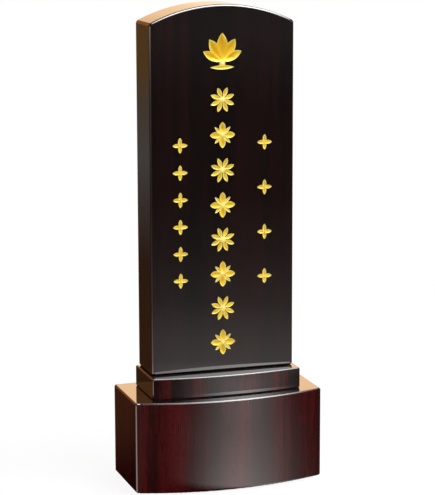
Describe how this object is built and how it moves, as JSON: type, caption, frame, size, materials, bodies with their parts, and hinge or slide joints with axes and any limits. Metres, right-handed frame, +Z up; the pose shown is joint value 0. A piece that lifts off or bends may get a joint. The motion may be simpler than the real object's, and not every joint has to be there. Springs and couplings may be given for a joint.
{
  "type": "buddhist memorial tablet",
  "caption": "Arched wooden memorial tablet with gold-filled flower carving, its foot tenoned into a stepped base with bowed fronts.",
  "frame": {"origin": "middle of the footprint, on the surface that the tablet stands on", "axes": "+Z up along the board, the carved face looks along -Y, +X to the right of that face as it is seen"},
  "size_m": [0.0724, 0.0362, 0.1788],
  "materials": {
    "rosewood": "gloss",
    "rosewood_base": "gloss",
    "gold": "satin",
    "dowel_wood": "matte",
    "felt": "matte"
  },
  "bodies": {
    "base": {"base_block": "rosewood_base", "plinth_step": "rosewood", "dowel_left": "dowel_wood", "dowel_right": "dowel_wood", "felt_pad": "felt"},
    "tablet": {"tablet_board": "rosewood", "gold_crest": "gold", "gold_flower_1": "gold", "gold_flower_2": "gold", "gold_flower_3": "gold", "gold_flower_4": "gold", "gold_flower_5": "gold", "gold_flower_6": "gold", "gold_flower_7": "gold", "gold_flower_8": "gold", "gold_left_blossom_1": "gold", "gold_left_blossom_2": "gold", "gold_left_blossom_3": "gold", "gold_left_blossom_4": "gold", "gold_left_blossom_5": "gold", "gold_left_blossom_6": "gold", "gold_right_blossom_1": "gold", "gold_right_blossom_2": "gold", "gold_right_blossom_3": "gold", "gold_right_blossom_4": "gold"}
  },
  "joints": [
    {"name": "tablet_lift", "type": "slide", "parent": "base", "child": "tablet", "axis": [0, 0, 1], "range_m": [0, 0.027]}
  ]
}
